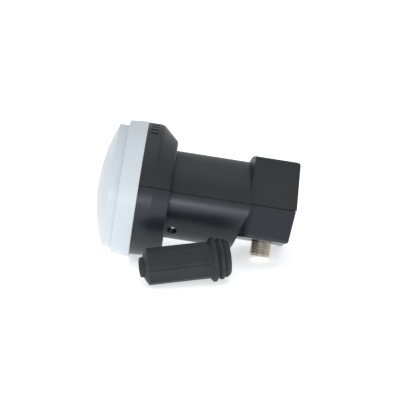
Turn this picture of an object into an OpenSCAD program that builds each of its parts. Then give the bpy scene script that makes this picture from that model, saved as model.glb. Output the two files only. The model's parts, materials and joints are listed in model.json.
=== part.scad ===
/*
  Low-noise block downconverter with a 40 mm neck, and its loose weather boot.
  Sizes are in millimetres. The feed axis is local X, running from the white
  cap to the rear box; local Z is up when the outlet points straight down.
  The unit is drawn as it lies: nose up and rolled over onto its outlet.
*/

/* [Feed cap] */
// Radius of the wide ring at its rear face
ring_r = 31.2; // [29.5:0.1:34]
// Length of the wide ring
ring_l = 8.6; // [6:0.1:12]
// How much smaller the ring is at its front
ring_taper = 0.7; // [0:0.05:1]
// Radius of the narrower band in front of the ring
band_r = 28.2; // [27.8:0.1:29]
// Length of the band
band_l = 4.3; // [3:0.1:8]
// Height of the dome
dome_rise = 5.8; // [3:0.1:12]
// Wall of the cap
cap_wall = 1.8; // [1.2:0.1:2.2]

/* [Shell collar] */
// How much smaller the upper half's collar is than the ring
collar_in = 0.4; // [0.1:0.1:1]
// How much smaller the lower half's collar is than the ring
collar_low_in = 1.3; // [1:0.1:1.6]
// Length of the collar
collar_l = 14.4; // [13:0.1:20]
// Length of the straight part of the collar
collar_flat = 6.9; // [5:0.1:9]
// Spacing of the skew marks in degrees
mark_step = 6; // [5:0.5:9]
// Number of marks each side of the middle one
mark_side = 6; // [2:1:7]

/* [Neck] */
// Radius of the neck that a feed clamp grips
neck_r = 20; // [19.5:0.1:21.5]
// Length of the neck under the clamp
neck_l = 33.3; // [26:0.1:45]

/* [Rear box] */
// Length of the box at the seam
box_l = 23.6; // [23:0.1:34]
// Height of the box above the feed axis
box_up = 21.8; // [21.5:0.1:28]
// Depth of the box below the feed axis
box_down = 14.9; // [14:0.1:18]
// Half width of the box at the seam
box_half = 20.8; // [20.5:0.1:24]
// Draft of the box sides in degrees
box_draft = 3; // [0:0.5:4]
// Wall of the shells
shell_wall = 1.8; // [1.4:0.1:2]
// Width of the groove along the seam
seam_w = 0.6; // [0.3:0.1:1]

/* [Outlet] */
// Radius over the outlet's thread
outlet_r = 4.7; // [4.6:0.05:4.8]
// Length of the outlet below the box
outlet_l = 6.9; // [6:0.1:12]
// Distance of the outlet in front of the box's rear
outlet_back = 12.6; // [12.4:0.1:13.4]

/* [Feed horn] */
// Radius of the round waveguide
guide_r = 8.75; // [8.3:0.05:9.2]
// Wall of the waveguide tube
guide_wall = 2.0; // [1.5:0.1:2.2]

/* [Weather boot] */
// Length of the boot
boot_l = 39.7; // [36:0.1:50]
// Half width across the flats of the boot's body
boot_flat = 7.9; // [7.3:0.05:8.2]
// Radius of the largest ridge
ridge_r = 9.85; // [9.4:0.05:10.5]
// Radius of the cable hole
cable_r = 3.3; // [2.4:0.1:3.5]
// Radius of the socket for the plug
socket_r = 5.8; // [5.4:0.1:6]
// Place of the boot's largest ridge along the unit
boot_x = 4.2; // [0:0.1:12]
// Distance of that ridge in front of the feed axis
boot_y = 37.4; // [37:0.1:60]
// Turn of the boot on the floor, in degrees
boot_turn = 12; // [0:0.1:16]
// Roll of the boot's eight sides, in degrees
boot_roll = -8; // [-22:1:22]

/* [Hidden] */
$fn = 96;
gap = 0.3;

// stations along the feed axis, from the rear face of the ring
band_x = -ring_l;
dome_x = -(ring_l + band_l);
apex_x = dome_x - dome_rise;
dome_R = (band_r * band_r + dome_rise * dome_rise) / (2 * dome_rise);
front_x = collar_l + neck_l;
side_x = front_x + 2.0;
collar_r = ring_r - collar_in;
collar_low_r = ring_r - collar_low_in;
rear_x = front_x + box_l;
rear_lean = 1.4;
rear_top = rear_x - rear_lean;
low_front = front_x - 0.7;
low_rear = rear_x - 0.3;
low_foot = low_rear - 1.4;
outlet_x = rear_x - outlet_back;
neck_mid = (collar_l + low_front) / 2;

// casting
horn_r = ring_r - ring_taper - cap_wall - 0.35 - 0.3;
skirt_r = horn_r + gap;
seat_x = band_x + cap_wall;
horn_wall = 1.8;
tube_r = guide_r + guide_wall;
rib_r = neck_r - shell_wall;
tub_x = side_x + 2.2;
rim_x = rear_x - 6.6;
tub_half = box_half - shell_wall - box_up * tan(box_draft) - 0.55;
tub_top = box_up - shell_wall - 1.2;
tub_foot = -(box_down - shell_wall - gap);
tub_wall = 1.6;
floor_z = tub_foot + 1.5;
board_x = outlet_x - 1.3;
board_t = 0.8;
back_x = board_x + board_t;
post_r = 2.4;
post_y = tub_half - tub_wall - 2.2;
post_up = tub_top - tub_wall - 2.2;
post_down = floor_z + 2.15;
notch = 2.7;
seal_x = -2.4;
seal_r = 0.62;

// screw wells behind the collar
well_x = collar_l + 3.1;
well_y = 10.9;
well_r = 2.2;
well_seat = -14.2 * neck_r / 20;
boss_z = well_seat + 1.2;
screw_r = 1.1;
head_r = 1.95;

// cover over the board
cup_r = guide_r + 1.0;
cover_x = back_x + 2.4;
cover_t = 1.0;
cup_x = back_x + 4.8;
cover_half = tub_half - tub_wall - 0.8;
fix_y = cover_half - 2.0;
fix_up = 8.0;
fix_down = -3.0;
fix_r = 1.8;
pin_r = 0.5;

// lid
gasket_t = 0.6;
lid_x = rim_x + gasket_t;
lid_t = 1.2;
lid_screw_r = 0.9;

// how the unit lies: it rests on the ring, the outlet's rim and the
// rear corner of the box, so roll and pitch follow from its own sizes
foot_half = box_half - box_down * tan(box_draft);
foot = [low_foot - 0.49, foot_half - 0.61, box_down - 0.125];
ring_low = ring_r - 0.071;
plug_z = box_down + outlet_l;
rim_r = outlet_r - 0.5;
function steep(a) = (ring_low - foot[1] * sin(a) - foot[2] * cos(a)) / foot[0];
function sunk(a, z, r) = let (t = steep(a))
  outlet_x * t + z * cos(a) + r * sqrt(t * t + sin(a) * sin(a)) - ring_low;
function low(a) = max(sunk(a, plug_z, rim_r), sunk(a, plug_z - 0.5, outlet_r));
function settle(lo, hi, n) = n == 0 ? (lo + hi) / 2
  : let (m = (lo + hi) / 2) low(m) > 0 ? settle(m, hi, n - 1) : settle(lo, m, n - 1);
roll = settle(0, 45, 24);
pitch = atan(steep(roll));
floor_level = -ring_low * cos(pitch) + neck_mid * sin(pitch);

module as_it_lies() {
  rotate([-roll, pitch, 0]) translate([-neck_mid, 0, 0]) children();
}

// the boot lies on its largest ridge and on an edge of its body
boot_edge = boot_flat / cos(22.5);
nose_r = 4.5;
nose_l = 1.4;
body_x = 3.3;
ridge_x = boot_l - 7.2;
flute_r = 1.5;
flute_c = boot_edge + flute_r - 0.75;
land = flute_c * sin(22.5) - sqrt(pow(flute_r, 2) - pow(flute_c * cos(22.5) - boot_flat, 2));
land_r = norm([land, boot_flat]);
land_turn = 22.5 - atan(land / boot_flat);
boot_low = max([for (i = [-1 : 1], s = [-1, 1])
  land_r * cos(boot_roll + 45 * i + s * land_turn)]);
boot_tilt = atan((ridge_r - boot_low) / (ridge_x - body_x));
boot_axis = floor_level + ridge_r * cos(boot_tilt) + 0.03;

module as_boot_lies() {
  translate([boot_x, -boot_y, boot_axis])
    rotate([0, 0, boot_turn]) rotate([0, -boot_tilt, 0]) translate([-ridge_x, 0, 0])
      children();
}

// outline with rounded corners: a list of [x, y, radius]
function unit(v) = v / norm(v);
function pt(c) = [c[0], c[1]];
function tangents(a, p, b, r) =
  let (u = unit(a - p), w = unit(b - p), h = acos(u * w) / 2, t = r / tan(h))
  [p + u * t, p + w * t];
function heart(a, p, b, r) =
  let (u = unit(a - p), w = unit(b - p), h = acos(u * w) / 2)
  p + unit(u + w) * r / sin(h);

module outline(c) {
  n = len(c);
  polygon([
    for (i = [0 : n - 1])
      let (a = pt(c[(i + n - 1) % n]), p = pt(c[i]), b = pt(c[(i + 1) % n]))
      each (c[i][2] > 0 ? tangents(a, p, b, c[i][2]) : [p])
  ]);
  for (i = [0 : n - 1])
    if (c[i][2] > 0)
      translate(heart(pt(c[(i + n - 1) % n]), pt(c[i]), pt(c[(i + 1) % n]), c[i][2]))
        circle(r = c[i][2]);
}

// turned about local X: the outline is given as [x, radius]
module turned() {
  rotate([0, 90, 0]) rotate([0, 0, 90]) rotate_extrude() rotate(90) mirror([0, 1, 0])
    children();
}

// straight rod along X
module rod(x0, x1, r) {
  translate([x0, 0, 0]) rotate([0, 90, 0]) cylinder(r = r, h = x1 - x0);
}

// block from one corner to the other
module block(a, b) {
  translate(a) cube(b - a);
}

// shells: each form is drawn at a depth t under its outer skin
slope_n = [0.669, 0.743];
slope_c = slope_n[0] * collar_flat + slope_n[1] * collar_r;

module collar_up(t) {
  r = collar_r - t;
  b = collar_l - t;
  x1 = (slope_c - t - slope_n[1] * r) / slope_n[0];
  r2 = (slope_c - t - slope_n[0] * b) / slope_n[1];
  turned() outline([
    [-1, 0, 0], [-1, r, 0], [x1, r, 3.2 - t / 2], [b, r2, 1.9 - t / 2], [b, 0, 0]
  ]);
}

module collar_down(t) {
  c = t * 1.6 / shell_wall;
  b = collar_l - 0.1 - t;
  turned() outline([
    [-1, 0, 0], [-1, collar_low_r - c, 0], [0, collar_low_r - c, 0],
    [collar_flat - 0.3, collar_low_r - 0.6 - c, 0],
    [b, collar_low_r - 1.9 - c, 0.8], [b, 0, 0]
  ]);
}

module across() {
  rotate([90, 0, 0]) linear_extrude(height = 80, center = true) children();
}

module along() {
  rotate([90, 0, 90]) linear_extrude(height = 200, center = true) children();
}

module box_up_form(t) {
  w = box_half - t;
  k = tan(box_draft);
  intersection() {
    across() outline([
      [front_x + t, -2, 0], [front_x + 0.4 + t, box_up - t, 0.9],
      [rear_top - t, box_up - t, max(0.4, 1.6 - t)],
      [rear_x + 2 * rear_lean / box_up - t, -2, 0]
    ]);
    linear_extrude(height = 80, center = true) polygon([
      for (s = [-1, 1]) each (s < 0
        ? [[front_x + t, -10], [side_x + t, 0.4 - neck_r],
          [side_x + 3 + t, -box_half - 0.3], [rear_x + 5, -box_half - 0.3]]
        : [[rear_x + 5, box_half + 0.3], [side_x + 3 + t, box_half + 0.3],
          [side_x + t, neck_r - 0.4], [front_x + t, 10]])
    ]);
    along() outline([
      [-w - 2 * k, -2, 0], [-w + k * (box_up - t), box_up - t, 1.2],
      [w - k * (box_up - t), box_up - t, 1.2], [w + 2 * k, -2, 0]
    ]);
  }
}

module box_down_form(t) {
  w = box_half - t;
  k = tan(box_draft);
  intersection() {
    across() outline([
      [low_front + t, 2, 0], [low_rear + 0.2 - t, 2, 0],
      [low_foot - t, -box_down + t, 1.1], [low_front + t, -box_down + t, 0]
    ]);
    linear_extrude(height = 80, center = true) outline([
      [low_front + t, -w - 0.3, 8 - t], [rear_x + 5, -w - 0.3, 0],
      [rear_x + 5, w + 0.3, 0], [low_front + t, w + 0.3, 8 - t]
    ]);
    along() outline([
      [-w - 2 * k, 2, 0], [w + 2 * k, 2, 0],
      [w - k * (box_down - t), -box_down + t, 1.2],
      [-w + k * (box_down - t), -box_down + t, 1.2]
    ]);
  }
}

module neck_down(t) {
  intersection() {
    rod(-1, front_x + 4, neck_r - t);
    across() polygon([
      [-2, 2], [-2, -neck_r - 1], [low_front - 2.1 - t, -neck_r - 1],
      [low_front - t, -box_down], [low_front - t, -box_down + t + 0.4],
      [front_x + 4, -box_down + t + 0.4], [front_x + 4, 2]
    ]);
  }
}

module up_form(t) {
  collar_up(t);
  rod(-1, front_x + 4, neck_r - t);
  box_up_form(t);
}

module down_form(t) {
  collar_down(t);
  neck_down(t);
  box_down_form(t);
}

// what the lip along the seam stands on: a strip on each side of the neck and box
module lip(grow) {
  for (s = [-1, 1]) scale([1, s, 1]) {
    block([collar_l + 1 - grow, neck_r - shell_wall + 0.1 - grow, -grow],
      [low_front - 3 + grow, neck_r - 1.1 + grow, 1.2 + grow]);
    block([tub_x + 1 - grow, box_half - shell_wall + 0.1 - grow, -grow],
      [rear_x - 5 + grow, box_half - 1.1 + grow, 1.2 + grow]);
  }
}

module upper_shell() {
  color([0.22, 0.22, 0.23]) as_it_lies() difference() {
    intersection() {
      up_form(0);
      block([0, -40, 0], [rear_x + 5, 40, 40]);
    }
    up_form(shell_wall);
    // groove along the seam
    difference() {
      block([-1, -40, -1], [rear_x + 5, 40, seam_w / 2]);
      up_form(0.8);
    }
    // room for the lower half's lip
    intersection() {
      lip(0.12);
      block([0, -40, -1], [rear_x, 40, 1.4]);
    }
    // skew marks engraved in the collar
    for (i = [-mark_side : mark_side])
      rotate([-i * mark_step, 0, 0])
        block([1.5, -0.5, collar_r - 0.7], [5.1, 0.5, collar_r + 1]);
    // windows under the rear hooks' barbs
    for (s = [-1, 1])
      block([rear_x - shell_wall - 1.2, s * 12 - 2.3, 2.4],
        [rear_x - shell_wall + 0.75, s * 12 + 2.3, 4.2]);
  }
}

module lower_shell() {
  color([0.21, 0.23, 0.25]) as_it_lies() {
    difference() {
      union() {
        difference() {
          intersection() {
            down_form(0);
            block([0, -40, -40], [rear_x + 5, 40, 0]);
          }
          down_form(shell_wall);
        }
        // pads around the screw wells, inside the neck
        intersection() {
          for (s = [-1, 1])
            translate([well_x, s * well_y, -neck_r])
              cylinder(r = well_r + 1.3, h = neck_r + boss_z);
          neck_down(0.2);
        }
        // lip along the seam
        intersection() {
          lip(0);
          block([0, -40, -1], [rear_x, 40, 1.2]);
        }
        lip_roots();
        // rear hooks that snap into the upper half
        for (s = [-1, 1]) {
          block([low_rear - shell_wall - 1.2, s * 12 - 2, -6],
            [low_rear - shell_wall - 0.1, s * 12 + 2, 4.0]);
          block([low_rear - shell_wall - 1.2, s * 12 - 2, -6],
            [low_rear - 0.8, s * 12 + 2, -1.2]);
          block([low_rear - shell_wall - 0.3, s * 12 - 2, 2.6],
            [rear_x - shell_wall + 0.5, s * 12 + 2, 4.0]);
        }
      }
      // groove along the seam
      difference() {
        block([-1, -40, -seam_w / 2], [rear_x + 5, 40, 0.01]);
        down_form(0.8);
        block([0, -neck_r + 1.0, -1], [rear_x - 1.6, neck_r - 1.0, 6]);
      }
      // wells and screw holes
      for (s = [-1, 1]) translate([well_x, s * well_y, -neck_r - 1]) {
        cylinder(r = well_r, h = neck_r + 1 + well_seat);
        cylinder(r = screw_r + 0.2, h = neck_r + 2 + boss_z);
      }
      // hole for the outlet
      translate([outlet_x, 0, -box_down - 1]) cylinder(r = outlet_r + 0.6, h = 6);
    }
  }
}

// where the lip grows out of the lower wall
module lip_roots() {
  for (s = [-1, 1]) scale([1, s, 1]) {
    intersection() {
      block([collar_l + 1, neck_r - shell_wall - 0.2, -1.5],
        [low_front - 3, neck_r - 1.1, 0]);
      down_form(0.9);
    }
    intersection() {
      block([tub_x + 1, box_half - shell_wall - 0.2, -1.5],
        [rear_x - 5, box_half - 1.1, 0]);
      down_form(0.9);
    }
  }
}

module shell_screws() {
  color([0.75, 0.75, 0.77]) as_it_lies()
    for (s = [-1, 1]) translate([well_x, s * well_y, well_seat]) difference() {
      union() {
        translate([0, 0, -1.5]) cylinder(r = head_r, h = 1.5);
        cylinder(r = screw_r, h = 8);
      }
      for (a = [0, 90]) rotate([0, 0, a])
        block([-1.1, -0.25, -2], [1.1, 0.25, -0.7]);
    }
}

module feed_cap() {
  color([0.86, 0.88, 0.89]) as_it_lies() difference() {
    cap_form(0);
    difference() {
      cap_form(cap_wall);
      // bead that snaps behind the horn's rim
      turned() polygon([
        [-1.5, skirt_r + 0.2], [-1.1, skirt_r - 0.35], [-0.9, skirt_r - 0.35],
        [-0.5, skirt_r + 0.2]
      ]);
    }
  }
}

module cap_form(t) {
  b = band_r - t;
  // ring
  if (t > 0) rod(band_x + t, 1, skirt_r);
  else turned() outline([
    [band_x, 0, 0], [band_x, ring_r - ring_taper, 0.5], [0, ring_r, 0.3], [0, 0, 0]
  ]);
  // band
  rod(dome_x, band_x + t + 0.5, b);
  // dome
  intersection() {
    translate([apex_x + dome_R, 0, 0]) sphere(r = dome_R - t, $fn = 180);
    rod(apex_x - 1, dome_x, b);
  }
}

module cap_seal() {
  color([0.08, 0.08, 0.08]) as_it_lies()
    turned() translate([seal_x - 2, skirt_r - seal_r]) circle(r = seal_r);
}

module feed_casting() {
  color([0.66, 0.67, 0.68]) as_it_lies() difference() {
    union() {
      // horn: outer wall, floor, choke rings
      turned() polygon([
        [seat_x, horn_r - horn_wall], [3.0, horn_r - horn_wall], [3.0, 21.2],
        [seat_x - 0.8, 21.2], [seat_x - 0.8, 20.0], [3.0, 20.0], [3.0, 15.8],
        [seat_x - 1.8, 15.8], [seat_x - 1.8, 14.6], [3.0, 14.6], [3.0, guide_r - 1],
        [5.4, guide_r - 1], [5.4, horn_r - 1.4], [1.0, horn_r], [-0.3, horn_r],
        [-0.5, horn_r - 0.45], [-1.5, horn_r - 0.45], [-1.7, horn_r],
        [seal_x - 2 + 0.9, horn_r], [seal_x - 2 + 0.9, skirt_r - 2 * seal_r],
        [seal_x - 2 - 0.9, skirt_r - 2 * seal_r], [seal_x - 2 - 0.9, horn_r],
        [seat_x, horn_r]
      ]);
      // waveguide tube, from the horn's mouth to the board
      rod(seat_x - 2.8, board_x, tube_r);
      // ribs that hold the neck
      intersection() {
        rod(4, low_front - 4.4, rib_r);
        union() {
          block([4, -0.8, -30], [front_x, 0.8, 30]);
          block([4, -rib_r + 0.5, -0.8], [front_x, rib_r - 0.5, 0.8]);
        }
      }
      // bosses of the shell screws
      intersection() {
        for (s = [-1, 1]) translate([well_x, s * well_y, boss_z])
          cylinder(r = 2.9, h = -boss_z);
        rod(4, low_front, rib_r - 0.2);
      }
      tub();
    }
    rod(seat_x - 4, board_x + 1, guide_r);
    // flared mouth of the waveguide
    turned() polygon([
      [seat_x - 4, 0], [seat_x - 4, guide_r + 1.9], [seat_x - 2.8, guide_r + 1.2],
      [seat_x - 1.2, guide_r], [seat_x - 1.2, 0]
    ]);
    for (s = [-1, 1]) translate([well_x, s * well_y, well_seat])
      cylinder(r = screw_r, h = 8.6);
    // bore of the outlet
    translate([outlet_x, 0, tub_foot - 1])
      cylinder(r = outlet_r + 0.7, h = floor_z - tub_foot + 1);
  }
}

module tub() {
  difference() {
    block([tub_x, -tub_half, tub_foot], [rim_x, tub_half, tub_top]);
    difference() {
      union() {
        // room in front of the board, with a ledge that carries it
        block([tub_x + 2, -tub_half + 2.6, floor_z + 1.0],
          [board_x + 1, tub_half - 2.6, tub_top - 2.6]);
        // room behind the board
        block([board_x, -tub_half + tub_wall, floor_z],
          [rim_x + 1, tub_half - tub_wall, tub_top - tub_wall]);
      }
      rod(tub_x, board_x, tube_r);
      // partition across the front room
      block([tub_x, -tub_half, 11.2], [board_x, tub_half, 12.4]);
      posts(tub_x, rim_x, post_r);
      fix_posts(tub_x, board_x, fix_r + 0.3);
    }
    posts(board_x - 1, rim_x + 1, lid_screw_r);
    fix_posts(tub_x + 2.5, board_x + 1, 0.7);
  }
}

// four corner posts of the lid
module posts(x0, x1, r) {
  for (s = [-1, 1], z = [post_up, post_down])
    translate([0, s * post_y, z]) rod(x0, x1, r);
}

// four posts of the cover's screws
module fix_posts(x0, x1, r) {
  for (s = [-1, 1], z = [fix_up, fix_down])
    translate([0, s * fix_y, z]) rod(x0, x1, r);
}

module circuit_board() {
  color([0.10, 0.34, 0.20]) as_it_lies() difference() {
    block([board_x, -tub_half + tub_wall + gap, floor_z + gap],
      [back_x, tub_half - tub_wall - gap, tub_top - tub_wall - gap]);
    for (s = [-1, 1]) scale([1, s, 1]) {
      block([board_x - 1, post_y - notch, post_up - notch], [back_x + 1, 30, 30]);
      block([board_x - 1, post_y - notch, -30], [back_x + 1, 30, post_down + notch]);
    }
    fix_posts(board_x - 1, back_x + 1, 0.8);
  }
}

probe_t = 0.15;

module vertical_probe() {
  color([0.80, 0.48, 0.28]) as_it_lies() {
    block([back_x, -0.6, 3.2], [back_x + probe_t, 0.6, 12.2]);
    block([back_x, -1.3, 3.2], [back_x + probe_t, 1.3, 5.4]);
  }
}

module horizontal_probe() {
  color([0.80, 0.48, 0.28]) as_it_lies() {
    block([back_x, 3.2, -0.6], [back_x + probe_t, 10.6, 0.6]);
    block([back_x, 3.2, -1.3], [back_x + probe_t, 5.4, 1.3]);
  }
}

module lna_transistors() {
  color([0.88, 0.87, 0.82]) as_it_lies() {
    block([back_x, -0.9, 12.2], [back_x + 0.9, 0.9, 14.0]);
    block([back_x, 10.6, -0.9], [back_x + 0.9, 12.2, 0.9]);
    block([back_x, 3.4, 12.6], [back_x + 0.9, 5.2, 14.4]);
  }
}

module converter_chip() {
  color([0.12, 0.12, 0.12]) as_it_lies()
    block([back_x, -8.4, 10.4], [back_x + 0.9, -3.8, 15.0]);
}

module reference_crystal() {
  color([0.72, 0.70, 0.62]) as_it_lies()
    block([board_x - 0.8, -6.6, 13.0], [board_x, -3.4, 15.5]);
}

module voltage_regulator() {
  color([0.12, 0.12, 0.12]) as_it_lies()
    block([board_x - 1.5, 3.0, 13.1], [board_x, 7.5, 15.6]);
}

module chip_capacitors() {
  color([0.66, 0.52, 0.36]) as_it_lies() {
    for (y = [-1.9, -0.3, 1.3])
      block([board_x - 0.6, y, 13.0], [board_x, y + 0.8, 14.6]);
    for (y = [-10.4, 8.6])
      block([board_x - 0.6, y, 13.2], [board_x, y + 0.8, 14.4]);
  }
}

module chip_inductors() {
  color([0.30, 0.30, 0.32]) as_it_lies()
    for (y = [-12.2, 10.6])
      block([board_x - 1.2, y, 3.0], [board_x, y + 1.6, 5.0]);
}

module shield_cover() {
  color([0.70, 0.71, 0.72]) as_it_lies() difference() {
    union() {
      cover_outline(back_x, cover_x + cover_t, 0);
      rod(back_x, cup_x + cover_t, cup_r);
    }
    difference() {
      cover_outline(back_x - 1, cover_x, 1.0);
      rod(back_x - 1, cover_x, cup_r);
      fix_posts(back_x - 1, cover_x, fix_r);
    }
    rod(back_x - 1, cup_x, guide_r);
    fix_posts(back_x - 1, cover_x + 2, 0.8);
    // openings for the two lines into the cup
    block([back_x - 1, -1.8, 0], [back_x + 0.8, 1.8, cup_r + 1]);
    block([back_x - 1, 0, -1.8], [back_x + 0.8, cup_r + 0.6, 1.8]);
  }
}

module cover_outline(x0, x1, in) {
  block([x0, -cover_half + in, fix_down - 2.4 + in],
    [x1, cover_half - in, post_up - notch - 0.4 - in]);
  block([x0, -post_y + notch + 0.3 + in, 0],
    [x1, post_y - notch - 0.3 - in, tub_top - tub_wall - 0.7 - in]);
}

module shield_screws() {
  color([0.76, 0.76, 0.78]) as_it_lies() {
    fix_posts(tub_x + 3, cover_x + cover_t, 0.7);
    fix_posts(cover_x + cover_t, cover_x + cover_t + 1.0, 1.5);
  }
}

module absorber_pad() {
  color([0.20, 0.20, 0.20]) as_it_lies()
    block([lid_x - 1.0, -11, -6], [lid_x, 11, 12]);
}

module lid_gasket() {
  color([0.10, 0.10, 0.10]) as_it_lies() difference() {
    block([rim_x, -tub_half + 0.2, tub_foot + 0.2],
      [lid_x, tub_half - 0.2, tub_top - 0.2]);
    block([rim_x - 1, -tub_half + tub_wall, tub_foot + tub_wall],
      [lid_x + 1, tub_half - tub_wall, tub_top - tub_wall]);
  }
}

module rear_lid() {
  color([0.70, 0.71, 0.72]) as_it_lies() difference() {
    block([lid_x, -tub_half, tub_foot], [lid_x + lid_t, tub_half, tub_top]);
    posts(lid_x - 1, lid_x + lid_t + 1, lid_screw_r + 0.1);
  }
}

module lid_screws() {
  color([0.76, 0.76, 0.78]) as_it_lies() {
    posts(board_x + 1, lid_x + lid_t, lid_screw_r);
    posts(lid_x + lid_t, lid_x + lid_t + 1.2, 1.8);
  }
}

module outlet_turned() {
  translate([outlet_x, 0, 0]) rotate_extrude() children();
}

module connector_body() {
  z0 = -plug_z;
  color([0.74, 0.73, 0.70]) as_it_lies() outlet_turned() polygon([
    [3.4, z0], [outlet_r - 0.5, z0], [outlet_r, z0 + 0.5], [outlet_r, -box_down - 0.2],
    [outlet_r - 0.4, -box_down], [outlet_r - 0.4, tub_foot - 0.1],
    [outlet_r + 0.7, tub_foot], [outlet_r + 0.7, floor_z], [2.6, floor_z],
    [2.6, floor_z - 1.0], [3.4, floor_z - 1.0]
  ]);
}

module connector_insulator() {
  z0 = -plug_z;
  color([0.92, 0.91, 0.88]) as_it_lies() outlet_turned() polygon([
    [0.6, z0 + 0.4], [3.4, z0 + 0.4], [3.4, floor_z - 1.0], [2.6, floor_z - 1.0],
    [2.6, floor_z], [pin_r, floor_z], [pin_r, floor_z - 1.5], [1.0, floor_z - 1.5],
    [1.0, z0 + 1.2], [0.6, z0 + 0.9]
  ]);
}

module connector_contact() {
  z0 = -plug_z;
  color([0.78, 0.68, 0.42]) as_it_lies() outlet_turned() polygon([
    [0.42, z0 + 1.2], [1.0, z0 + 1.2], [1.0, floor_z - 1.5], [pin_r, floor_z - 1.5],
    [pin_r, -cup_r - 0.15], [0, -cup_r - 0.15], [0, floor_z - 2.5],
    [0.42, floor_z - 2.5]
  ]);
}

module connector_seal() {
  color([0.07, 0.07, 0.07]) as_it_lies() outlet_turned() polygon([
    [outlet_r - 0.4, -box_down + 0.5], [outlet_r + 0.6, -box_down + 0.5],
    [outlet_r + 0.6, tub_foot - 0.1], [outlet_r - 0.4, tub_foot - 0.1]
  ]);
}

module weather_boot() {
  L = boot_l;
  R = ridge_r;
  K = ridge_x;
  color([0.27, 0.28, 0.27]) as_boot_lies() difference() {
    union() {
      // nose, round shoulder and ridged mouth
      turned() polygon([
        [0, 0], [0, nose_r - 0.35], [0.3, nose_r - 0.05], [nose_l, nose_r],
        [nose_l + 0.5, nose_r + 1.2], [body_x - 0.6, boot_flat - 0.9],
        [body_x - 0.2, boot_flat - 0.35], [body_x + 0.3, boot_flat - 0.2],
        [K - 3.2, boot_flat - 0.2], [K - 2.6, boot_flat - 0.05],
        [K - 1.9, boot_flat + 0.3], [K - 0.6, R - 0.2], [K - 0.3, R], [K + 0.5, R],
        [K + 0.9, R - 0.25], [K + 1.7, R - 1.4], [K + 2.1, R - 1.4], [K + 2.5, R - 0.8],
        [K + 2.9, R - 0.7], [K + 3.7, R - 0.7], [K + 4.1, R - 1.0], [K + 4.5, R - 1.7],
        [K + 4.8, R - 1.7], [K + 5.0, R - 1.4], [K + 5.6, R - 1.4], [K + 6.3, R - 1.8],
        [L - 0.2, R - 2.3], [L, R - 2.6], [L, 0]
      ]);
      // eight-sided body with a shallow flute along every edge
      difference() {
        translate([body_x, 0, 0]) rotate([0, 90, 0]) rotate([0, 0, boot_roll])
          cylinder(r = boot_edge, h = K - 1.4 - body_x, $fn = 8);
        for (a = [0 : 7]) rotate([boot_roll + a * 45, 0, 0])
          translate([0, 0, flute_c]) rod(nose_l, K, flute_r);
      }
    }
    // cable hole, shoulder and socket
    turned() polygon([
      [-0.6, 0], [-0.6, cable_r + 0.975], [1.2, cable_r], [8, cable_r], [11, socket_r],
      [L + 1, socket_r], [L + 1, 0]
    ]);
  }
}

feed_cap();
cap_seal();
feed_casting();
upper_shell();
lower_shell();
shell_screws();
circuit_board();
vertical_probe();
horizontal_probe();
lna_transistors();
converter_chip();
reference_crystal();
voltage_regulator();
chip_capacitors();
chip_inductors();
shield_cover();
shield_screws();
absorber_pad();
lid_gasket();
rear_lid();
lid_screws();
connector_body();
connector_insulator();
connector_contact();
connector_seal();
weather_boot();
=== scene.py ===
import json
import math

import bmesh
import bpy
from mathutils import Matrix, Vector


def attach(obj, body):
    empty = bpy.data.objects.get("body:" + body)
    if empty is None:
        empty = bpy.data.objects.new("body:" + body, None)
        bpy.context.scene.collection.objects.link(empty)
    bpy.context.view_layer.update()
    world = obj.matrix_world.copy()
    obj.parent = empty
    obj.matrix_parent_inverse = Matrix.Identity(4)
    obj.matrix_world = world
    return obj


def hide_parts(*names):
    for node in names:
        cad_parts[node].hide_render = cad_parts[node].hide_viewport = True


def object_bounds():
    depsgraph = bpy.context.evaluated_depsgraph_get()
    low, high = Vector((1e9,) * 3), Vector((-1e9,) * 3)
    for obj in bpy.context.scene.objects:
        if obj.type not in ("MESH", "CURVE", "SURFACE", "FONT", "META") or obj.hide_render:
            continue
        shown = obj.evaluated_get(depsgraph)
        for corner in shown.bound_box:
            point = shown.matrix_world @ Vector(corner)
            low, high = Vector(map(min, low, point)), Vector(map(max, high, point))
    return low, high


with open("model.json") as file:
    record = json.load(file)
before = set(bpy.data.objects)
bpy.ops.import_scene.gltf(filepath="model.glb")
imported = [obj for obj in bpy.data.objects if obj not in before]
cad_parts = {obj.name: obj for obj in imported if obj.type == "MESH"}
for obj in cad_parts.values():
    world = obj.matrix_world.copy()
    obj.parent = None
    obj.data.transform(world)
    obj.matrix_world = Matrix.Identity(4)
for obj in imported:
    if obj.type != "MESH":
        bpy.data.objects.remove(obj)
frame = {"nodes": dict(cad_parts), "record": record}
cad_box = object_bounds()
nodes = frame["nodes"]
mm = 0.001


# Feed casting. One zinc die casting holds the horn, the round waveguide, the ribs
# inside the neck and the tub for the circuit board. It comes from the die with a
# dull, slightly cloudy skin and is left as cast.
def noise(tree, place, scale, detail):
    """Fine or coarse clouds on the piece's own coordinates; gives their strength."""
    clouds = tree.nodes.new("ShaderNodeTexNoise")
    clouds.inputs["Scale"].default_value = scale
    clouds.inputs["Detail"].default_value = detail
    tree.links.new(place.outputs["Object"], clouds.inputs["Vector"])
    return clouds.outputs["Fac"]


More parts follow.
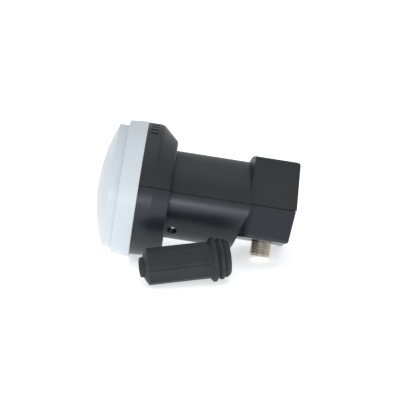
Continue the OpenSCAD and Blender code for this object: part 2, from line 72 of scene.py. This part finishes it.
def finish(
    name, colour, shade, patch, roughness, grain, depth, metallic=0.0, specular=0.5
):
    """A surface whose tone and gloss drift over patches, with a fine raised grain.

    colour and shade are its light and dark tones, patch and grain are sizes in mm,
    roughness is its lowest and highest, and depth is the grain's height in mm.
    """
    few, most = 0.3, 0.7  # nearly all of a noise lies between these
    material = bpy.data.materials.new(name)
    material.use_nodes = True
    tree = material.node_tree
    shader = tree.nodes["Principled BSDF"]
    shader.inputs["Metallic"].default_value = metallic
    shader.inputs["Specular IOR Level"].default_value = specular
    place = tree.nodes.new("ShaderNodeTexCoord")

    tones = tree.nodes.new("ShaderNodeValToRGB")
    tones.color_ramp.elements[0].position = few
    tones.color_ramp.elements[0].color = (*shade, 1)
    tones.color_ramp.elements[1].position = most
    tones.color_ramp.elements[1].color = (*colour, 1)
    clouds = noise(tree, place, 1 / (patch * mm), detail=4)
    tree.links.new(clouds, tones.inputs["Fac"])
    tree.links.new(tones.outputs["Color"], shader.inputs["Base Color"])

    spread = tree.nodes.new("ShaderNodeMapRange")
    spread.inputs["From Min"].default_value = few
    spread.inputs["From Max"].default_value = most
    spread.inputs["To Min"].default_value = roughness[0]
    spread.inputs["To Max"].default_value = roughness[1]
    smears = noise(tree, place, 3 / (patch * mm), detail=6)
    tree.links.new(smears, spread.inputs["Value"])
    tree.links.new(spread.outputs["Result"], shader.inputs["Roughness"])

    raised = tree.nodes.new("ShaderNodeBump")
    raised.inputs["Strength"].default_value = 1.0
    raised.inputs["Distance"].default_value = depth * mm
    pits = noise(tree, place, 1 / (grain * mm), detail=3)
    tree.links.new(pits, raised.inputs["Height"])
    tree.links.new(raised.outputs["Normal"], shader.inputs["Normal"])
    return material


def dress(node, material):
    """Gives a CAD node its finish."""
    nodes[node].data.materials.clear()
    nodes[node].data.materials.append(material)


cast_zinc = finish(
    "cast_zinc",
    colour=(0.42, 0.42, 0.43),
    shade=(0.31, 0.31, 0.33),
    patch=9,
    roughness=(0.42, 0.6),
    grain=0.5,
    depth=0.02,
    metallic=0.9,
)
dress("feed_casting", cast_zinc)


# Seals. A moulded ring sits in the horn's groove under the cap, a flat gasket lies
# under the lid, and a ring stands round the outlet. All are black rubber, a little
# chalky from the mould powder.
seal_rubber = finish(
    "seal_rubber",
    colour=(0.022, 0.022, 0.022),
    shade=(0.013, 0.013, 0.013),
    patch=3,
    roughness=(0.6, 0.78),
    grain=0.25,
    depth=0.01,
)
for seal in ("cap_seal", "lid_gasket", "connector_seal"):
    dress(seal, seal_rubber)


# Circuit board. Glass-filled laminate under a green solder mask, with the copper
# runs showing as a lighter green. Four screws hold it on the tub's ledge, together
# with the cover.
mask_green = finish(
    "mask_green",
    colour=(0.010, 0.115, 0.040),
    shade=(0.006, 0.080, 0.028),
    patch=6,
    roughness=(0.25, 0.36),
    grain=0.3,
    depth=0.004,
)
mask_tree = mask_green.node_tree
run_spacing = 2.4 * mm
run_half, run_blur = 0.08, 0.11  # edge distances, in spacings
runs = mask_tree.nodes.new("ShaderNodeTexVoronoi")
runs.feature = "DISTANCE_TO_EDGE"
runs.inputs["Scale"].default_value = 1 / run_spacing
run_edge = mask_tree.nodes.new("ShaderNodeValToRGB")
run_edge.color_ramp.elements[0].position = run_half
run_edge.color_ramp.elements[0].color = (0.020, 0.19, 0.070, 1)
run_edge.color_ramp.elements[1].position = run_blur
run_edge.color_ramp.elements[1].color = (0.008, 0.095, 0.034, 1)
mask_place = mask_tree.nodes["Texture Coordinate"]
mask_tree.links.new(mask_place.outputs["Object"], runs.inputs["Vector"])
mask_tree.links.new(runs.outputs["Distance"], run_edge.inputs["Fac"])
mask_shader = mask_tree.nodes["Principled BSDF"]
mask_tree.links.new(run_edge.outputs["Color"], mask_shader.inputs["Base Color"])
dress("circuit_board", mask_green)


# Probes. Two flat strips of bare copper on the board reach into the waveguide, one
# for each polarisation. They are etched with the board, and have gone slightly
# brown in handling.
bare_copper = finish(
    "bare_copper",
    colour=(0.80, 0.42, 0.26),
    shade=(0.62, 0.30, 0.18),
    patch=1.5,
    roughness=(0.28, 0.45),
    grain=0.12,
    depth=0.004,
    metallic=1.0,
)
for probe in ("vertical_probe", "horizontal_probe"):
    dress(probe, bare_copper)


# Parts on the board. The low-noise transistors are in white ceramic cases, and the
# converter and the regulator in black epoxy. The crystal has a nickel can, and the
# chip capacitors and inductors are bare ceramic and ferrite. All are soldered flat.
case_ceramic = finish(
    "case_ceramic",
    colour=(0.76, 0.74, 0.68),
    shade=(0.66, 0.64, 0.58),
    patch=1,
    roughness=(0.4, 0.52),
    grain=0.1,
    depth=0.004,
)
black_epoxy = finish(
    "black_epoxy",
    colour=(0.020, 0.020, 0.021),
    shade=(0.013, 0.013, 0.014),
    patch=1.2,
    roughness=(0.45, 0.62),
    grain=0.12,
    depth=0.008,
)
nickel_can = finish(
    "nickel_can",
    colour=(0.66, 0.63, 0.56),
    shade=(0.52, 0.50, 0.45),
    patch=1.2,
    roughness=(0.2, 0.34),
    grain=0.1,
    depth=0.003,
    metallic=1.0,
)
tan_ceramic = finish(
    "tan_ceramic",
    colour=(0.42, 0.29, 0.16),
    shade=(0.32, 0.21, 0.11),
    patch=0.6,
    roughness=(0.42, 0.55),
    grain=0.08,
    depth=0.004,
)
grey_ferrite = finish(
    "grey_ferrite",
    colour=(0.075, 0.075, 0.08),
    shade=(0.045, 0.045, 0.05),
    patch=0.8,
    roughness=(0.5, 0.65),
    grain=0.1,
    depth=0.006,
)
for part, case in (
    ("lna_transistors", case_ceramic),
    ("converter_chip", black_epoxy),
    ("voltage_regulator", black_epoxy),
    ("reference_crystal", nickel_can),
    ("chip_capacitors", tan_ceramic),
    ("chip_inductors", grey_ferrite),
):
    dress(part, case)


# Shield cover, absorber and lid. The cover over the board is a zinc casting like
# the feed, with a brighter skin, and the tub's lid is pressed from sheet. A foam
# pad loaded with carbon is glued inside the lid.
trimmed_zinc = finish(
    "trimmed_zinc",
    colour=(0.50, 0.50, 0.52),
    shade=(0.39, 0.39, 0.41),
    patch=7,
    roughness=(0.34, 0.5),
    grain=0.4,
    depth=0.012,
    metallic=0.9,
)
carbon_foam = finish(
    "carbon_foam",
    colour=(0.030, 0.030, 0.031),
    shade=(0.015, 0.015, 0.016),
    patch=1.5,
    roughness=(0.8, 0.95),
    grain=0.6,
    depth=0.12,
)
dress("shield_cover", trimmed_zinc)
dress("rear_lid", trimmed_zinc)
dress("absorber_pad", carbon_foam)


# Screws. Self-tapping steel screws, zinc plated, hold the cover, the lid and the
# two halves of the shell. The plating is bright with a faint blue cast.
zinc_plate = finish(
    "zinc_plate",
    colour=(0.78, 0.79, 0.80),
    shade=(0.66, 0.68, 0.70),
    patch=0.8,
    roughness=(0.16, 0.3),
    grain=0.15,
    depth=0.003,
    metallic=1.0,
)
for screws in ("shield_screws", "lid_screws", "shell_screws"):
    dress(screws, zinc_plate)


# Outlet. A turned brass stub for a screw-on aerial plug, nickel plated to a warm
# grey, with 32 turns of thread to the inch outside. It is pressed into the tub's
# floor and sticks out through the lower shell. The solid's smooth rod is replaced.
outlet_mount = next(m for m in frame["record"]["mounts"] if m["name"] == "f_outlet")
outlet_r = outlet_mount["dims"]["r_mm"] * mm
outlet_down = Vector(outlet_mount["axis"]).normalized()
thread_far = 2.95 * mm  # from the mount's middle to the last full thread
thread_near = -3.25 * mm  # and to the first, at the relief under the box
rim_far = 3.45 * mm
pitch = 25.4 / 32 * mm
crest_w = 0.11 * mm
root_w = 0.14 * mm
flank = (pitch - crest_w - root_w) / 2
thread_in = flank * math.sqrt(3) * 0.86  # a little shallower than 60 degree flanks
root_r = outlet_r - thread_in
bore_r = 3.4 * mm
bore_edge = 0.15 * mm
relief_r = 4.25 * mm
neck_far = -5.45 * mm  # up inside the shell, at the tub's floor
flange_far = -7.05 * mm
flange_r = 5.4 * mm
back_wall = 1.0 * mm  # behind the bore, with a hole for the contact
back_hole_r = 2.6 * mm
shoulder = 0.1 * mm  # the slope from flange to neck
joint = 0.02 * mm  # left between thread and skin, and bridged
steps_round = 64


def turned_skin(mesh, points):
    """Spins a line of (radius, place along Z) points once round Z."""
    line = [mesh.verts.new((r, 0, z)) for r, z in points]
    edges = [mesh.edges.new(pair) for pair in zip(line, line[1:])]
    bmesh.ops.spin(
        mesh,
        geom=line + edges,
        cent=(0, 0, 0),
        axis=(0, 0, 1),
        dvec=(0, 0, 0),
        angle=math.tau,
        steps=steps_round,
        use_merge=True,
        use_normal_flip=False,
        use_duplicate=False,
    )


stub = bmesh.new()
# One tooth, from root to root, wound up the stub and trimmed square at both ends.
tooth = [(root_r, 0), (root_r, root_w), (outlet_r, root_w + flank)]
tooth += [(outlet_r, root_w + flank + crest_w), (root_r, pitch)]
turns = math.ceil((thread_far - thread_near) / pitch) + 2
start = thread_near - 1.5 * pitch
tooth_line = [stub.verts.new((r, 0, z + start)) for r, z in tooth]
tooth_edges = [stub.edges.new(pair) for pair in zip(tooth_line, tooth_line[1:])]
bmesh.ops.spin(
    stub,
    geom=tooth_line + tooth_edges,
    cent=(0, 0, 0),
    axis=(0, 0, 1),
    dvec=(0, 0, pitch / steps_round),
    angle=math.tau * turns,
    steps=steps_round * turns,
    use_merge=False,
    use_normal_flip=False,
    use_duplicate=False,
)
bmesh.ops.remove_doubles(stub, verts=stub.verts, dist=joint / 5)
for height, below in ((thread_near, True), (thread_far, False)):
    bmesh.ops.bisect_plane(
        stub,
        geom=stub.verts[:] + stub.edges[:] + stub.faces[:],
        plane_co=(0, 0, height),
        plane_no=(0, 0, 1),
        clear_inner=below,
        clear_outer=not below,
    )


def open_rim(mesh, height):
    """The open edges that lie at that height."""
    near = joint / 10
    return [
        edge
        for edge in mesh.edges
        if edge.is_boundary and all(abs(v.co.z - height) < near for v in edge.verts)
    ]


# The rim's chamfer, the bore, and the plain neck and flange inside the shell.
chamfer_r = root_r - 0.05 * mm
chamfer = 0.12 * mm
turned_skin(
    stub,
    [
        (chamfer_r, thread_far + joint),
        (chamfer_r, rim_far - chamfer),
        (chamfer_r - chamfer, rim_far),
        (bore_r + bore_edge, rim_far),
        (bore_r, rim_far - bore_edge),
        (bore_r, flange_far + back_wall),
        (back_hole_r, flange_far + back_wall),
        (back_hole_r, flange_far),
        (flange_r, flange_far),
        (flange_r, neck_far - shoulder),
        (relief_r, neck_far),
        (relief_r, thread_near - joint),
    ],
)
for thread_end, skin_end in (
    (thread_far, thread_far + joint),
    (thread_near, thread_near - joint),
):
    ends = open_rim(stub, thread_end) + open_rim(stub, skin_end)
    bmesh.ops.bridge_loops(stub, edges=ends)
bmesh.ops.recalc_face_normals(stub, faces=stub.faces)
outlet_turn = outlet_down.to_track_quat("Z", "Y").to_matrix().to_4x4()
outlet_place = Matrix.Translation(outlet_mount["pos_m"]) @ outlet_turn
bmesh.ops.transform(stub, matrix=outlet_place, verts=stub.verts)
outlet_mesh = bpy.data.meshes.new("threaded_outlet")
threaded_outlet = bpy.data.objects.new("threaded_outlet", outlet_mesh)
bpy.context.scene.collection.objects.link(threaded_outlet)
stub.to_mesh(threaded_outlet.data)
stub.free()
sharp_from = math.radians(28)  # so that the thread's crests stay crisp
threaded_outlet.data.shade_smooth()
threaded_outlet.data.set_sharp_from_angle(angle=sharp_from)
warm_nickel = finish(
    "warm_nickel",
    colour=(0.66, 0.60, 0.52),
    shade=(0.50, 0.46, 0.40),
    patch=1.6,
    roughness=(0.26, 0.42),
    grain=0.18,
    depth=0.006,
    metallic=1.0,
)
threaded_outlet.data.materials.append(warm_nickel)
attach(threaded_outlet, "root")
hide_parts("connector_body")


# Inside the outlet. A white plastic bush with a small hole in its face, and a
# spring contact behind it, gold plated, that grips the cable's inner wire.
white_bush = finish(
    "white_bush",
    colour=(0.80, 0.79, 0.75),
    shade=(0.72, 0.71, 0.67),
    patch=2,
    roughness=(0.35, 0.46),
    grain=0.2,
    depth=0.004,
)
gold_contact = finish(
    "gold_contact",
    colour=(0.90, 0.66, 0.28),
    shade=(0.78, 0.54, 0.22),
    patch=1,
    roughness=(0.2, 0.32),
    grain=0.1,
    depth=0.002,
    metallic=1.0,
)
dress("connector_insulator", white_bush)
dress("connector_contact", gold_contact)


# Shell. Two halves moulded in a dark grey weatherproof plastic with a fine spark
# finish, the lower one pulled on by two screws behind the collar and snapped
# together at the rear. Only the upper half carries the engraved marks.
upper_plastic = finish(
    "upper_plastic",
    colour=(0.017, 0.017, 0.018),
    shade=(0.014, 0.014, 0.015),
    patch=22,
    roughness=(0.38, 0.45),
    grain=0.35,
    depth=0.008,
    specular=0.42,
)
# The lower half's cool blue tint is painted: it is a painted reflection of the cool light
# from the front and from below. The plastic itself is the same dark grey as the upper
# half.
lower_plastic_painted_blue = finish(
    "lower_plastic_painted_blue",
    colour=(0.016, 0.020, 0.025),
    shade=(0.013, 0.017, 0.022),
    patch=22,
    roughness=(0.27, 0.32),
    grain=0.35,
    depth=0.004,
    specular=0.42,
)
dress("upper_shell", upper_plastic)
dress("lower_shell", lower_plastic_painted_blue)


# Feed cap. A thin bluish-white dome, moulded in a plastic that lets the waves
# through, with a wide ring at its rear. It snaps over the rubber seal on the horn.
cap_white = finish(
    "cap_white",
    colour=(0.63, 0.675, 0.70),
    shade=(0.60, 0.65, 0.675),
    patch=30,
    roughness=(0.34, 0.44),
    grain=0.8,
    depth=0.006,
)
dress("feed_cap", cap_white)


# Weather boot. A loose sleeve of soft dark rubber that is pushed over the outlet
# and its plug. It has a cable hole in the nose, soft flats with shallow channels
# between them, and three ridges round the mouth.
boot_rubber = finish(
    "boot_rubber",
    colour=(0.022, 0.027, 0.026),
    shade=(0.017, 0.022, 0.021),
    patch=8,
    roughness=(0.48, 0.62),
    grain=0.4,
    depth=0.02,
    specular=0.35,
)
dress("weather_boot", boot_rubber)


# Floor. A wide sheet of white translucent card, lit a little from below like a light
# table, so that the pieces lie on pure white. It is level with their lowest point.
floor_z = min(cad_box[0][2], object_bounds()[0][2])
floor_half = 4.0
card = bmesh.new()
bmesh.ops.create_grid(
    card,
    x_segments=1,
    y_segments=1,
    size=floor_half,
    matrix=Matrix.Translation((0, 0, floor_z)),
)
floor = bpy.data.objects.new("floor", bpy.data.meshes.new("floor"))
bpy.context.scene.collection.objects.link(floor)
card.to_mesh(floor.data)
card.free()
white_card = finish(
    "white_card",
    colour=(0.90, 0.90, 0.90),
    shade=(0.88, 0.88, 0.88),
    patch=60,
    roughness=(0.7, 0.8),
    grain=1.5,
    depth=0.02,
    specular=0.2,
)
card_shader = white_card.node_tree.nodes["Principled BSDF"]
card_shader.inputs["Emission Color"].default_value = (1.0, 1.0, 1.0, 1)
card_shader.inputs["Emission Strength"].default_value = 0.60
floor.data.materials.append(white_card)


# Light. An even white room and a wide soft box overhead. Two small, low ones on
# the camera's side give the soft lights along the lower shell and its collar.
room = bpy.data.worlds.new("room")
bpy.context.scene.world = room
room.use_nodes = True
room_light = room.node_tree.nodes["Background"]
room_light.inputs["Color"].default_value = (0.93, 0.96, 1.0, 1)
room_light.inputs["Strength"].default_value = 0.72


def soft_box(name, place, aim, size, watts, colour):
    """A flat light of that size, in metres, facing aim."""
    light = bpy.data.lights.new(name, "AREA")
    light.shape = "RECTANGLE"
    light.size, light.size_y = size
    light.energy = watts
    light.color = colour
    holder = bpy.data.objects.new(name, light)
    bpy.context.scene.collection.objects.link(holder)
    holder.location = place
    beam = Vector(aim) - Vector(place)
    holder.rotation_euler = beam.to_track_quat("-Z", "Y").to_euler()


soft_box(
    "overhead_box",
    place=(-0.1, 0.0, 1.1),
    aim=(0, 0, 0),
    size=(1.2, 1.2),
    watts=2.5,
    colour=(1.0, 0.99, 0.98),
)
cool_white = (0.86, 0.93, 1.0)
low_aim = (-0.02, 0, 0)
soft_box(
    "low_box",
    place=(-0.075, -0.5, 0.0),
    aim=low_aim,
    size=(0.11, 0.045),
    watts=0.33,
    colour=cool_white,
)
soft_box(
    "collar_box",
    place=(0.04, -0.5, 0.0),
    aim=low_aim,
    size=(0.045, 0.045),
    watts=0.10,
    colour=cool_white,
)


# Camera. It stands 0.9 m away, a little to the right of the unit and above it,
# and is aimed so that the unit falls where it does in the photograph.
camera_turn = math.radians(1.67)
camera_rise = math.radians(17.245)
camera_far = 0.9
photo_side = 400  # pixels
target = Vector((0, 0, -8 * mm))
target_px = (205.779, 216.339)  # where the target falls in the photograph
px_per_mm = 2.187  # at the target
look = Vector(
    (
        -math.sin(camera_turn) * math.cos(camera_rise),
        math.cos(camera_turn) * math.cos(camera_rise),
        -math.sin(camera_rise),
    )
)
right = look.cross(Vector((0, 0, 1))).normalized()
above = right.cross(look)
off_right = (photo_side / 2 - target_px[0]) / px_per_mm * mm
off_below = (photo_side / 2 - target_px[1]) / px_per_mm * mm
centre = target + right * off_right - above * off_below
lens = bpy.data.cameras.new("camera")
lens.lens = px_per_mm * camera_far / mm * lens.sensor_width / photo_side
camera = bpy.data.objects.new("camera", lens)
bpy.context.scene.collection.objects.link(camera)
camera.location = target - look * camera_far
camera_aim = centre - camera.location
camera.rotation_euler = camera_aim.to_track_quat("-Z", "Y").to_euler()
bpy.context.scene.camera = camera
bpy.context.scene.view_settings.view_transform = "Standard"
